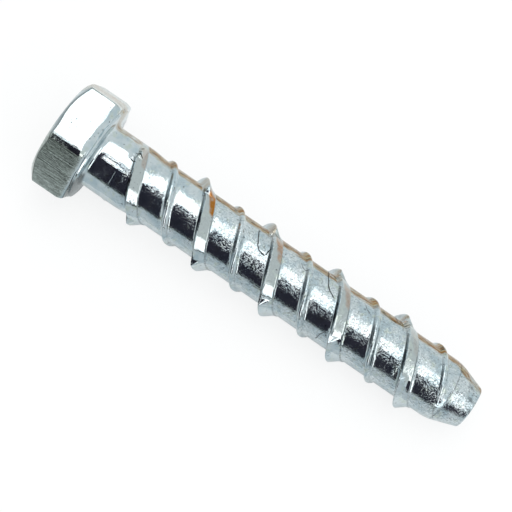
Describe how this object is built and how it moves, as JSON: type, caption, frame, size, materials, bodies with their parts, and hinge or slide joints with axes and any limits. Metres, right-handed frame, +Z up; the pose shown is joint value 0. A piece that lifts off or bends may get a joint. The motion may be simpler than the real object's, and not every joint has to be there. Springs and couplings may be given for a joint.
{
  "type": "concrete screw",
  "caption": "Hexagon-head concrete screw with a short plain shank, a coarse notched main thread, a low secondary thread and a tapered tip.",
  "frame": {"origin": "on the ground under the middle of the lying screw's box", "axes": "+X along the screw from head to tip, tipped about 2 degrees down; +Z up; +Y to the side"},
  "size_m": [0.0844, 0.0216, 0.0189],
  "materials": {
    "zinc_plated_steel": "bright zinc plated"
  },
  "bodies": {
    "root": {"concrete_screw": "zinc_plated_steel"}
  },
  "joints": []
}
